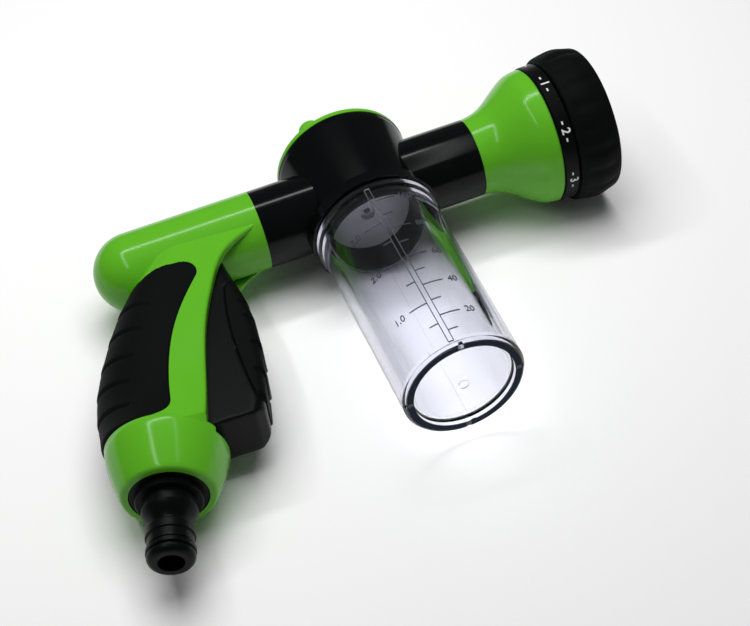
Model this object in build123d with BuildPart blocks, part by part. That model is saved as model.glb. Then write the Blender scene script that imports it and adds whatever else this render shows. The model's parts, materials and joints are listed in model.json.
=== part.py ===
from build123d import *
import os
from math import atan, cos, degrees, radians, sin

# A garden hose gun: pistol grip with a front trigger, a mixing drum with a clear
# soap cup below it and a turning dial on top, and a turning spray head in front.
#
# Everything is drawn with the gun upright: +X points forward along the barrel,
# +Z points up towards the dial, and the origin is where the barrel's axis crosses
# the drum's axis. At the end the whole gun is laid down on its left side.
# In the handle, "across" runs from the back of the grip to the trigger, and
# "along" runs up the handle from the middle of the hose collar.

# ---- driving dimensions, millimetres and degrees ----
barrel_radius = 16.05
barrel_back = -95.0            # centre of the round rear end
barrel_front = -43.2           # joint between the green barrel and the black tube
tube_radius = 16.0
tube_front = 49.0
waterway_radius = 8.0
socket_radius = 13.1           # sockets at both ends of the black tube
spigot_radius = 12.95
socket_depth = 16.8
o_ring_thickness = 2.0
o_ring_squeeze = 0.12
rear_waterway_length = 32.0

handle_lean = 14.69            # handle axis leans back from the vertical
collar_centre = (-108.6, 0, -95.0)
collar_radius = 22.4
collar_mouth_along = -17.9
collar_mouth_radius = 14.4
collar_mouth_depth = 3.2
thread_radius = 10.6
thread_top_along = -4.0
nipple_radius = 8.85           # standard push-on hose nipple
nipple_neck = 6.6
nipple_bore = 4.75
nipple_tip_along = -46.0
grip_thickness = 2.2
grip_proud = 0.35
cheek_round = 1.2

pocket_half_width = 11.4       # slot between the cheeks, where the trigger swings
pocket_floor_along = -0.8
pocket_back_across = 3.0       # flat wall that carries the valve gland
trigger_half_width = 10.9
trigger_wall = 2.3
pad_thickness = 1.8
pivot = (11.5, 71.0)           # trigger hinge, across and along
pin_radius = 1.5
running_clearance = 0.05

valve_along = 38.0
seat_across = -13.0
seat_thickness = 1.0
chamber_radius = 5.3
chamber_back_across = -19.6
plug_radius = 5.9
plug_thickness = 1.6
stem_radius = 2.0
stem_tip_across = 15.5
valve_head_radius = 4.4
washer_thickness = 1.2
gland_depth = 6.5
gland_flange = 1.5
passage_radius = 3.2

drum_top = 19.6
drum_top_radius = 27.3
drum_neck = -14.0
drum_neck_radius = 23.2
cup_collar_top = -16.6
cup_collar_bottom = -21.0
cup_collar_radius = 26.9
dial_radius = 27.5
dial_bottom = 17.9
dial_top = 24.7
dial_well_radius = 24.6
dial_well_depth = 3.1
spindle_radius = 10.5
spindle_drive = 7.0            # corner radius of the eight-sided drive
mixing_floor = -11.4
skirt_inner = 18.3
skirt_outer = 19.5
skirt_bottom = -25.5
rim_groove_radius = 21.7
rim_groove_top = -13.0
ledge_inner = 22.1
ledge_outer = 24.2
ledge_thickness = 1.6
ledge_arc = 50.0
bayonet_count = 3

cup_inner = 19.9
cup_inner_base = 19.6
cup_rim_radius = 21.3
cup_rim_top = -14.5
cup_flange_radius = 25.5
cup_flange_top = -21.6
cup_wall_top = -24.2
cup_wall_radius = 24.7
cup_base = -110.8
cup_base_radius = 23.9
cup_floor_thickness = 2.4
cup_base_recess = 1.5
lug_radius = 23.8
lug_arc = 40.0
measure_rib_angle = -96.5      # the rib that the scale stands on, about +Z from +X

bell_back = 49.3
bell_front = 78.4
bell_front_radius = 28.1
bell_wall = 2.4
port_circle = 15.0             # water ports of the head, from its axis
port_radius = 3.4
head_gap = 0.4
ring_front = 84.6
ring_radius = 28.5
ring_inner = 26.2
head_back = 85.0
head_front = 103.0
head_radius = 31.4
head_inner = 26.6
post_radius = 5.5
post_length = 3.4
detent_circle = 19.5           # the click ball, from the head's axis
detent_ball_radius = 1.5
detent_ball_at = 77.75
screw_radius = 2.0
pattern_count = 8
port_plate_back = 71.5
port_plate_front = 75.0
screw_tip = 66.5
face_at = 98.6
face_thickness = 2.4

# ---- ends of the two spigots ----
mixer_tail = barrel_front - socket_depth + 0.8
bell_tail = tube_front - socket_depth + 0.8

# ---- planes of the handle ----
lean_cos = cos(radians(handle_lean))
lean_sin = sin(radians(handle_lean))
across_dir = (lean_cos, 0, -lean_sin)
along_dir = (lean_sin, 0, lean_cos)
handle_cross = Plane(origin=collar_centre, x_dir=across_dir, z_dir=along_dir)
handle_side = Plane(origin=collar_centre, x_dir=across_dir, z_dir=(0, -1, 0))


def in_handle(across, along, side=0.0):
    """Point of the gun from its place in the handle."""
    return handle_side.from_local_coords((across, along, -side))


def across_plane(across, along):
    """Plane that faces the trigger, at a place in the handle."""
    return Plane(origin=in_handle(across, along), x_dir=(0, 1, 0), z_dir=across_dir)


def upright_plane(angle):
    """Plane through the drum's axis, turned about it from the front."""
    turn = radians(angle)
    return Plane(origin=(0, 0, 0), x_dir=(cos(turn), sin(turn), 0), z_dir=(sin(turn), -cos(turn), 0))


def handle_envelope(grow):
    """Rounded body of the handle, grown outwards all round by the given amount."""
    # along, back, middle, half width, front, half width at the front
    stations = (
        (-6.0, -20.5, 0.0, 21.0, 30.0, 12.0),
        (4.0, -22.9, 0.0, 20.8, 30.0, 11.2),
        (12.0, -24.1, -0.5, 18.6, 30.0, 10.8),
        (20.0, -24.9, -1.0, 17.3, 30.0, 10.6),
        (40.0, -23.5, -1.0, 17.0, 31.0, 11.0),
        (60.0, -18.8, 0.0, 16.6, 36.0, 11.8),
        (78.0, -11.6, 3.0, 15.8, 46.0, 12.6),
        (92.0, -6.0, 8.0, 14.2, 60.0, 13.2),
        (112.0, -1.0, 14.0, 13.4, 80.0, 13.2),
    )
    with BuildPart() as envelope:
        for along, back, middle, half, front, front_half in stations:
            with BuildSketch(handle_cross.offset(along)):
                with BuildLine():
                    EllipticalCenterArc((middle, 0), middle - back + grow, half + grow, 90, arc_size=180)
                    Spline(
                        (middle, -half - grow),
                        (front, -front_half - grow),
                        tangents=((1, 0), (front - middle, half - front_half)),
                    )
                    Line((front, -front_half - grow), (front, front_half + grow))
                    Spline(
                        (front, front_half + grow),
                        (middle, half + grow),
                        tangents=((middle - front, half - front_half), (-1, 0)),
                    )
                make_face()
        loft()
    return envelope.part


def grip_outline():
    """Side outline of the soft grip, in the handle's side plane."""
    with BuildSketch(handle_side) as outline:
        with BuildLine():
            Polyline((-2.0, 3.0), (-40.0, 3.0), (-40.0, 76.0), (-11.0, 76.0))
            Spline((-11.0, 76.0), (-0.7, 79.6), (9.0, 81.6), tangents=((1, 0.1), (1, 0.15)))
            Spline((9.0, 81.6), (15.2, 78.6), (15.4, 73.0), tangents=((1, 0.15), (-0.45, -1)))
            Spline((15.4, 73.0), (6.8, 48.2), (4.2, 26.0), (4.8, 11.5), tangents=((-0.45, -1), (0.1, -1)))
            Spline((4.8, 11.5), (3.2, 5.6), (-2.0, 3.0), tangents=((0.1, -1), (-1, -0.2)))
        make_face()
    return outline.sketch


def trigger_outline(inset):
    """Side outline of the trigger, pulled in by the given amount."""
    top = (25.0 - inset, 86.2 - 1.4 * inset)
    nose = (36.9 - inset, 9.0 + 0.4 * inset)
    heel = (14.0 + inset, 5.0 + inset)
    hub_low = (7.4 + inset, 66.5)
    with BuildSketch(handle_side) as outline:
        with BuildLine():
            Spline(
                top, (29.2 - inset, 74.8), (36.0 - inset, 49.6), (37.9 - inset, 25.9), nose,
                tangents=((0.3, -1), (-0.15, -1)),
            )
            Polyline(nose, (33.5 - inset, 6.0 + inset), (16.0 + inset, 2.2 + inset), heel)
            Polyline(heel, (14.0 + inset, 60.0), hub_low)
            Polyline(hub_low, (7.4 + inset, 75.0), (14.0 + inset, 83.4 - 1.4 * inset), top)
        make_face()
    return outline.sketch


def o_ring(plane, radius, thickness):
    """Rubber ring around the plane's normal; radius is to the middle of its section."""
    with BuildPart() as ring:
        with BuildSketch(Plane(origin=plane.origin, x_dir=plane.x_dir, z_dir=plane.y_dir)):
            with Locations((radius, 0)):
                Circle(thickness / 2)
        revolve(axis=Axis(plane.origin, plane.z_dir))
    return ring.part


# ---- handle: green barrel, cheeks, back and hose collar in one moulding ----
with BuildPart() as handle_core:
    add(handle_envelope(0))
    with BuildSketch(handle_side) as cheek_outline:
        with BuildLine():
            Spline(
                (16.4, -6.0), (17.1, 21.0), (18.8, 55.0), (21.6, 70.0), (27.8, 87.3), (39.8, 98.4),
                tangents=((0.05, 1), (1, 0.6)),
            )
            Polyline((39.8, 98.4), (39.8, 130.0), (-60.0, 130.0), (-60.0, -6.0), (16.4, -6.0))
        make_face()
    extrude(amount=2 * collar_radius, both=True, mode=Mode.INTERSECT)
    cheek_edges = handle_core.edges().filter_by(
        lambda edge: edge.length > 90.0 and handle_side.to_local_coords(edge.center()).X > 14.0
    )
    fillet(cheek_edges, cheek_round)
    # the cheeks flow into the collar
    with BuildSketch(handle_side):
        with BuildLine():
            Polyline((0, 130.0), (0, -6.0), (20.9, -6.0))
            Spline(
                (20.9, -6.0), (collar_radius - 0.1, 0.0), (25.5, 8.0), (34.0, 20.0),
                tangents=((0.25, 1), (1, 1)),
            )
            Polyline((34.0, 20.0), (80.0, 50.0), (80.0, 130.0), (0, 130.0))
        make_face()
    revolve(axis=Axis(collar_centre, along_dir), mode=Mode.INTERSECT)
    split(bisect_by=Plane.XY.offset(2.0), keep=Keep.BOTTOM)
    split(bisect_by=Plane.YZ.offset(barrel_front), keep=Keep.BOTTOM)

with BuildPart() as grip_zone:
    add(handle_envelope(grip_proud))
    add(handle_envelope(-grip_thickness), mode=Mode.SUBTRACT)
    extrude(grip_outline(), amount=2 * collar_radius, both=True, mode=Mode.INTERSECT)
    # room for the end of the valve plug
    with BuildSketch(across_plane(chamber_back_across - plug_thickness, valve_along)):
        Circle(plug_radius)
    extrude(amount=plug_thickness, mode=Mode.SUBTRACT)

with BuildPart() as handle_body:
    add(handle_core.part)
    with BuildSketch(handle_side):
        with BuildLine():
            Polyline((0, 5.0), (0, collar_mouth_along), (16.2, collar_mouth_along))
            Spline(
                (16.2, collar_mouth_along), (17.6, -16.6), (20.7, -8.0), (collar_radius, 0.0), (17.5, 5.0),
                tangents=((1, 0.1), (-1, 0.5)),
            )
            Line((17.5, 5.0), (0, 5.0))
        make_face()
    revolve(axis=Axis(collar_centre, along_dir))
    # slot between the cheeks for the trigger
    with BuildSketch(handle_side):
        with BuildLine():
            Polyline(
                (60.0, pocket_floor_along), (-1.0, pocket_floor_along), (-1.0, 14.0),
                (pocket_back_across, 28.0), (pocket_back_across, 60.0), (8.0, 95.0), (8.0, 130.0),
                (60.0, 130.0), close=True,
            )
        make_face()
    extrude(amount=pocket_half_width, both=True, mode=Mode.SUBTRACT)
    # barrel with its round end
    with BuildSketch(Plane.YZ.offset(barrel_back)):
        Circle(barrel_radius)
    extrude(amount=barrel_front - barrel_back)
    with Locations((barrel_back, 0, 0)):
        Sphere(barrel_radius)
    with BuildSketch(Plane.YZ.offset(barrel_front)):
        Circle(socket_radius)
    extrude(amount=-socket_depth, mode=Mode.SUBTRACT)
    with BuildSketch(Plane.YZ.offset(barrel_front - socket_depth)):
        Circle(waterway_radius)
    extrude(amount=-rear_waterway_length, mode=Mode.SUBTRACT)
    # hose thread and the mouth of the collar
    with BuildSketch(handle_cross.offset(collar_mouth_along - 1.0)):
        Circle(collar_mouth_radius)
    extrude(amount=collar_mouth_depth + 1.0, mode=Mode.SUBTRACT)
    with BuildSketch(handle_cross.offset(collar_mouth_along)):
        Circle(thread_radius)
    extrude(amount=thread_top_along - collar_mouth_along, mode=Mode.SUBTRACT)
    # valve chambers, seat and water passages
    with BuildSketch(across_plane(chamber_back_across - plug_thickness, valve_along)):
        Circle(plug_radius)
    extrude(amount=plug_thickness, mode=Mode.SUBTRACT)
    with BuildSketch(across_plane(chamber_back_across, valve_along)):
        Circle(chamber_radius)
    extrude(amount=seat_across - chamber_back_across, mode=Mode.SUBTRACT)
    with BuildSketch(across_plane(seat_across, valve_along)):
        Circle(passage_radius)
    extrude(amount=seat_thickness, mode=Mode.SUBTRACT)
    with BuildSketch(across_plane(seat_across + seat_thickness, valve_along)):
        Circle(chamber_radius)
    extrude(amount=pocket_back_across - seat_across - seat_thickness, mode=Mode.SUBTRACT)
    passages = (
        ((-6.5, thread_top_along - 1.0), (-16.5, valve_along)),
        ((-8.5, valve_along), (1.0, 93.0)),
    )
    for low, high in passages:
        start = in_handle(*low)
        end = in_handle(*high)
        with BuildSketch(Plane(origin=start, z_dir=end - start)):
            Circle(passage_radius)
        extrude(amount=(end - start).length, mode=Mode.SUBTRACT)
    # holes for the trigger pin, covered by the soft grip
    with BuildSketch(Plane(origin=in_handle(*pivot), x_dir=across_dir, z_dir=(0, 1, 0))):
        Circle(pin_radius)
    extrude(amount=2 * collar_radius, both=True, mode=Mode.SUBTRACT)
    add(grip_zone.part, mode=Mode.SUBTRACT)

# ---- soft grip insert ----
with BuildPart() as grip_insert:
    add(grip_zone.part)

# ---- trigger and its soft pad ----
with BuildPart() as trigger_blank:
    extrude(trigger_outline(0), amount=trigger_half_width, both=True)
    front_edges = trigger_blank.edges().filter_by(
        lambda edge: edge.length > 60.0 and abs(edge.center().Y) > trigger_half_width - 1.0
    )
    fillet(front_edges.sort_by(Axis.X)[-2:], 4.5)

with BuildPart() as pad_zone:
    add(trigger_blank.part)
    with BuildSketch(handle_side):
        with BuildLine():
            Spline(
                (25.6, 69.5), (26.0, 55.0), (29.0, 36.0), (35.4, 12.5),
                tangents=((0, -1), (0.35, -1)),
            )
            Polyline((35.4, 12.5), (60.0, 12.5), (60.0, 74.0), (30.0, 74.0), (25.6, 69.5))
        make_face()
    extrude(amount=2 * trigger_half_width, both=True, mode=Mode.INTERSECT)
    core_half_width = trigger_half_width - pad_thickness
    extrude(trigger_outline(pad_thickness), amount=core_half_width, both=True, mode=Mode.SUBTRACT)

with BuildPart() as trigger_pad:
    add(pad_zone.part)

with BuildPart() as trigger:
    add(trigger_blank.part)
    add(pad_zone.part, mode=Mode.SUBTRACT)
    # hollow behind, open towards the handle
    hollow_half_width = core_half_width - trigger_wall
    hollow_outline = trigger_outline(pad_thickness + trigger_wall)
    extrude(hollow_outline, amount=hollow_half_width, both=True, mode=Mode.SUBTRACT)
    with BuildSketch(handle_side):
        with Locations((14.0, 35.0)):
            Rectangle(16.0, 55.0)
    extrude(amount=hollow_half_width, both=True, mode=Mode.SUBTRACT)
    # hub of the hinge, and the wall that presses the valve stem
    with BuildSketch(Plane(origin=in_handle(*pivot), x_dir=across_dir, z_dir=(0, 1, 0))):
        Circle(4.1)
    extrude(amount=trigger_half_width, both=True)
    with BuildSketch(handle_side):
        with Locations((stem_tip_across + 1.4, valve_along)):
            Rectangle(2.2, 10.0)
    extrude(amount=hollow_half_width + 0.5, both=True)
    with BuildSketch(Plane(origin=in_handle(*pivot), x_dir=across_dir, z_dir=(0, 1, 0))):
        Circle(pin_radius + running_clearance)
    extrude(amount=2 * trigger_half_width, both=True, mode=Mode.SUBTRACT)

with BuildPart() as trigger_pin:
    with BuildSketch(Plane(origin=in_handle(*pivot), x_dir=across_dir, z_dir=(0, 1, 0))):
        Circle(pin_radius)
    extrude(amount=12.9, both=True)
    chamfer(trigger_pin.edges(), 0.3)

# ---- water valve in the handle ----
with BuildPart() as valve_stem:
    with BuildSketch(across_plane(seat_across - washer_thickness - 1.0, valve_along)):
        Circle(valve_head_radius)
    extrude(amount=1.0)
    with BuildSketch(across_plane(seat_across - washer_thickness, valve_along)):
        Circle(stem_radius)
    extrude(amount=stem_tip_across - seat_across + washer_thickness)
    chamfer(valve_stem.edges().sort_by(Axis.X)[-1], 0.3)

with BuildPart() as valve_washer:
    with BuildSketch(across_plane(seat_across - washer_thickness, valve_along)):
        Circle(valve_head_radius)
        Circle(stem_radius, mode=Mode.SUBTRACT)
    extrude(amount=washer_thickness)

with BuildPart() as valve_gland:
    with BuildSketch(across_plane(pocket_back_across - gland_depth, valve_along)):
        Circle(chamber_radius)
    extrude(amount=gland_depth)
    with BuildSketch(across_plane(pocket_back_across, valve_along)):
        RegularPolygon(7.2, 6)
    extrude(amount=gland_flange)
    with BuildSketch(across_plane(pocket_back_across - gland_depth, valve_along)):
        Circle(stem_radius + running_clearance)
    extrude(amount=gland_depth + gland_flange, mode=Mode.SUBTRACT)
    with BuildSketch(across_plane(pocket_back_across - gland_depth + 1.5, valve_along)):
        Circle(3.7)
        Circle(stem_radius, mode=Mode.SUBTRACT)
    extrude(amount=1.7, mode=Mode.SUBTRACT)

with BuildPart() as gland_o_ring:
    add(o_ring(across_plane(pocket_back_across - gland_depth + 2.35, valve_along), 2.85, 1.55))

with BuildPart() as spring_cap:
    with BuildSketch(across_plane(stem_tip_across - 2.4, valve_along)):
        Circle(4.4)
        Circle(stem_radius, mode=Mode.SUBTRACT)
    extrude(amount=1.4)

spring_back = pocket_back_across + gland_flange
spring_front = stem_tip_across - 2.4
spring_wire = 0.4
spring_turns = 4
with BuildPart() as valve_spring:
    coil_length = spring_front - spring_back - 2 * spring_wire - 0.1
    with BuildLine():
        coil = Helix(
            pitch=coil_length / spring_turns, height=coil_length, radius=3.4,
            center=in_handle(spring_back + spring_wire + 0.05, valve_along), direction=across_dir,
        )
    with BuildSketch(Plane(origin=coil @ 0, z_dir=coil % 0)):
        Circle(spring_wire)
    sweep(path=coil)

with BuildPart() as valve_plug:
    with BuildSketch(across_plane(chamber_back_across - plug_thickness, valve_along)):
        Circle(plug_radius)
    extrude(amount=plug_thickness)
    with BuildSketch(across_plane(chamber_back_across - plug_thickness, valve_along)):
        Rectangle(7.0, 1.2)
    extrude(amount=0.8, mode=Mode.SUBTRACT)

# ---- hose connector, its washer and its filter ----
with BuildPart() as inlet_connector:
    with BuildSketch(handle_side):
        with BuildLine():
            Polyline(
                (0, -5.6), (thread_radius, -5.6), (thread_radius, -14.7), (14.2, -14.7), (14.2, -17.6),
                (13.8, -18.0), (12.2, -18.0), (12.2, -20.2), (11.8, -20.6), (9.5, -20.6), (9.5, -24.4),
                (10.1, -24.8), (10.1, -25.3),
            )
            Spline((10.1, -25.3), (8.6, -27.6), (nipple_neck, -30.3), tangents=((-0.4, -1), (-0.4, -1)))
            Polyline(
                (nipple_neck, -30.3), (nipple_neck, -31.0), (8.5, -32.4), (nipple_radius, -33.0),
                (nipple_radius, -35.9), (8.3, -36.3), (8.3, -39.7), (7.9, -39.9), (7.9, -40.3),
                (nipple_radius, -40.7), (nipple_radius, -42.1), (7.9, -42.5), (7.9, -42.9), (8.6, -43.3),
            )
            ThreePointArc((8.6, -43.3), (8.0, -45.2), (6.3, nipple_tip_along))
            Polyline((6.3, nipple_tip_along), (0, nipple_tip_along), (0, -5.6))
        make_face()
    revolve(axis=Axis(collar_centre, along_dir))
    with BuildSketch(handle_cross.offset(nipple_tip_along)):
        Circle(nipple_bore)
    extrude(amount=-nipple_tip_along, mode=Mode.SUBTRACT)
    with BuildSketch(handle_cross.offset(-8.0)):
        Circle(7.0)
    extrude(amount=4.0, mode=Mode.SUBTRACT)

with BuildPart() as connector_washer:
    with BuildSketch(handle_cross.offset(-5.6)):
        Circle(thread_radius - 0.1)
        Circle(7.0, mode=Mode.SUBTRACT)
    extrude(amount=thread_top_along + 5.6)

with BuildPart() as inlet_filter:
    with BuildSketch(handle_cross.offset(-8.0)):
        Circle(6.9)
        with GridLocations(1.9, 1.9, 5, 5):
            Circle(0.55, mode=Mode.SUBTRACT)
    extrude(amount=1.2)

# ---- mixing drum with its two tubes ----
with BuildPart() as mixer_housing:
    with BuildSketch(Plane.XZ):
        with BuildLine():
            Polyline(
                (0, cup_collar_bottom), (cup_collar_radius, cup_collar_bottom),
                (cup_collar_radius, cup_collar_top),
            )
            Spline(
                (cup_collar_radius, cup_collar_top), (24.6, -15.3), (drum_neck_radius, drum_neck + 1.5),
                tangents=((-1, 0.25), (0.15, 1)),
            )
            Polyline(
                (drum_neck_radius, drum_neck + 1.5), (drum_top_radius, drum_top - 2.0),
                (drum_top_radius, drum_top), (0, drum_top), (0, cup_collar_bottom),
            )
        make_face()
    revolve(axis=Axis.Z)
    with BuildSketch(Plane.YZ.offset(barrel_front)):
        Circle(tube_radius)
    extrude(amount=tube_front - barrel_front)
    with BuildSketch(Plane.YZ.offset(mixer_tail)):
        Circle(spigot_radius)
    extrude(amount=socket_depth)
    with BuildSketch(Plane.XY.offset(skirt_bottom)):
        Circle(skirt_outer)
    extrude(amount=cup_collar_bottom - skirt_bottom)
    # well for the dial and bore for its spindle
    with BuildSketch(Plane.XY.offset(drum_top - dial_well_depth)):
        Circle(dial_well_radius)
    extrude(amount=dial_well_depth, mode=Mode.SUBTRACT)
    with BuildSketch(Plane.XY.offset(mixing_floor)):
        Circle(spindle_radius + running_clearance)
    extrude(amount=drum_top - mixing_floor, mode=Mode.SUBTRACT)
    # hollow under the drum, and the groove that takes the cup's rim
    with BuildSketch(Plane.XY.offset(skirt_bottom)):
        Circle(skirt_inner)
    extrude(amount=mixing_floor - skirt_bottom, mode=Mode.SUBTRACT)
    with BuildSketch(Plane.XY.offset(cup_collar_bottom)):
        Circle(rim_groove_radius)
        Circle(skirt_outer, mode=Mode.SUBTRACT)
    extrude(amount=rim_groove_top - cup_collar_bottom, mode=Mode.SUBTRACT)
    with BuildSketch(Plane.XY.offset(cup_collar_bottom)):
        Circle(ledge_outer)
        Circle(skirt_outer, mode=Mode.SUBTRACT)
    extrude(amount=cup_collar_top - cup_collar_bottom + 0.2, mode=Mode.SUBTRACT)
    for k in range(bayonet_count):
        ledge_start = k * 360.0 / bayonet_count - ledge_arc / 2
        with BuildSketch(upright_plane(ledge_start)):
            ledge_middle = (ledge_inner + ledge_outer + 0.5) / 2
            with Locations((ledge_middle, cup_collar_bottom + ledge_thickness / 2)):
                Rectangle(ledge_outer - ledge_inner + 0.5, ledge_thickness)
        revolve(axis=Axis.Z, revolution_arc=ledge_arc)
    # waterway and the front socket
    with BuildSketch(Plane.YZ.offset(mixer_tail)):
        Circle(waterway_radius)
    extrude(amount=tube_front - mixer_tail, mode=Mode.SUBTRACT)
    with BuildSketch(Plane.YZ.offset(tube_front)):
        Circle(socket_radius)
    extrude(amount=-socket_depth, mode=Mode.SUBTRACT)
    # groove of the rear seal
    with BuildSketch(Plane.YZ.offset(mixer_tail + 3.2)):
        Circle(spigot_radius + 1.0)
        Circle(spigot_radius - o_ring_thickness + 0.1, mode=Mode.SUBTRACT)
    extrude(amount=o_ring_thickness + 0.4, mode=Mode.SUBTRACT)

rear_seal_plane = Plane(
    origin=(mixer_tail + 3.4 + o_ring_thickness / 2, 0, 0), x_dir=(0, 1, 0), z_dir=(1, 0, 0)
)
with BuildPart() as rear_o_ring:
    add(o_ring(rear_seal_plane, spigot_radius - o_ring_thickness / 2 + o_ring_squeeze, o_ring_thickness))

with BuildPart() as mixing_plate:
    with BuildSketch(Plane.XY.offset(mixing_floor - 2.0)):
        Circle(skirt_inner - 0.1)
        Circle(3.2, mode=Mode.SUBTRACT)
    extrude(amount=1.8)

with BuildPart() as cup_gasket:
    with BuildSketch(Plane.XY.offset(rim_groove_top - 1.2)):
        Circle(rim_groove_radius - 0.1)
        Circle(skirt_outer + 0.1, mode=Mode.SUBTRACT)
    extrude(amount=1.2)

# ---- turning dial and its spindle ----
spindle_groove = 12.6
with BuildPart() as selector_spindle:
    with BuildSketch(Plane.XY.offset(mixing_floor + 0.1)):
        Circle(spindle_radius)
    extrude(amount=drum_top - dial_well_depth - mixing_floor)
    with BuildSketch(Plane.XY.offset(drum_top - dial_well_depth + 0.1)):
        Circle(12.4)
    extrude(amount=1.2)
    with BuildSketch(Plane.XY.offset(drum_top - dial_well_depth + 1.3)):
        RegularPolygon(spindle_drive, 8)
    extrude(amount=3.6)
    with BuildSketch(Plane.YZ):
        Circle(5.0)
    extrude(amount=2 * spindle_radius, both=True, mode=Mode.SUBTRACT)
    with BuildSketch(Plane.XY.offset(mixing_floor)):
        Circle(1.6)
    extrude(amount=-mixing_floor, mode=Mode.SUBTRACT)
    with BuildSketch(Plane.XY.offset(spindle_groove)):
        Circle(spindle_radius + 1.0)
        Circle(spindle_radius - 1.45, mode=Mode.SUBTRACT)
    extrude(amount=1.8, mode=Mode.SUBTRACT)

with BuildPart() as spindle_o_ring:
    add(o_ring(Plane.XY.offset(spindle_groove + 0.9), spindle_radius - 0.72, 1.4))

bar_angle = -117.0
with BuildPart() as selector_dial:
    with BuildSketch(Plane.XZ):
        with BuildLine():
            Polyline(
                (0, dial_bottom), (24.2, dial_bottom), (24.2, drum_top + 0.3),
                (dial_radius, drum_top + 0.3), (dial_radius, 21.3),
            )
            ThreePointArc((dial_radius, 21.3), (27.0, 22.4), (25.8, 22.8))
            ThreePointArc((25.8, 22.8), (13.0, 24.2), (0, dial_top))
            Line((0, dial_top), (0, dial_bottom))
        make_face()
    revolve(axis=Axis.Z)
    with BuildSketch(Plane.XY.offset(22.0)):
        with Locations(Location((0, 0, 0), (0, 0, bar_angle))):
            SlotOverall(51.0, 9.6)
    extrude(amount=6.0)
    fillet(selector_dial.faces().sort_by(Axis.Z)[-1].edges(), 2.4)
    # hollow underneath and the socket for the spindle
    with BuildSketch(Plane.XY.offset(dial_bottom)):
        Circle(22.4)
        Circle(9.5, mode=Mode.SUBTRACT)
    extrude(amount=3.0, mode=Mode.SUBTRACT)
    with BuildSketch(Plane.XY.offset(dial_bottom)):
        RegularPolygon(spindle_drive, 8)
    extrude(amount=3.6, mode=Mode.SUBTRACT)

# ---- clear soap cup ----
with BuildPart() as soap_cup:
    with BuildSketch(Plane.XZ):
        with BuildLine():
            Polyline(
                (cup_inner, cup_rim_top), (cup_rim_radius, cup_rim_top), (cup_rim_radius, cup_flange_top),
                (cup_flange_radius, cup_flange_top), (cup_flange_radius, cup_wall_top + 0.4),
                (cup_wall_radius, cup_wall_top), (cup_base_radius, cup_base + 1.2),
                (cup_base_radius - 0.9, cup_base), (cup_inner_base + 0.3, cup_base),
                (cup_inner_base + 0.3, cup_base + cup_base_recess), (0, cup_base + cup_base_recess),
                (0, cup_base + cup_base_recess + cup_floor_thickness),
                (cup_inner_base - 1.2, cup_base + cup_base_recess + cup_floor_thickness),
            )
            Polyline(
                (cup_inner_base - 1.2, cup_base + cup_base_recess + cup_floor_thickness),
                (cup_inner_base, cup_base + cup_base_recess + cup_floor_thickness + 1.2),
                (cup_inner, cup_rim_top),
            )
        make_face()
    revolve(axis=Axis.Z)
    # bayonet lugs
    for k in range(bayonet_count):
        lug_start = k * 360.0 / bayonet_count - lug_arc / 2
        with BuildSketch(upright_plane(lug_start)):
            with Locations(((cup_rim_radius + lug_radius) / 2 - 0.2, -18.2)):
                Rectangle(lug_radius - cup_rim_radius + 0.4, 1.6)
        revolve(axis=Axis.Z, revolution_arc=lug_arc)
    # two upright ribs; the scale stands beside the near one
    for rib_angle in (measure_rib_angle, measure_rib_angle + 180.0):
        with BuildSketch(upright_plane(rib_angle - 2.3)):
            with BuildLine():
                Polyline(
                    (cup_wall_radius - 1.0, cup_wall_top + 0.2), (cup_wall_radius + 0.8, cup_wall_top + 0.2),
                    (cup_base_radius + 0.8, cup_base + 2.0), (cup_base_radius - 1.0, cup_base + 2.0),
                    close=True,
                )
            make_face()
        revolve(axis=Axis.Z, revolution_arc=4.6)
    # notches in the foot ring, and the moulding point in the middle
    with BuildSketch(Plane.XY.offset(cup_base)):
        with PolarLocations(cup_base_radius - 0.9, 4):
            Rectangle(1.4, 1.6)
    extrude(amount=0.8, mode=Mode.SUBTRACT)
    with BuildSketch(Plane.XY.offset(cup_base + cup_base_recess)):
        Circle(2.0)
    extrude(amount=-0.7)

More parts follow.
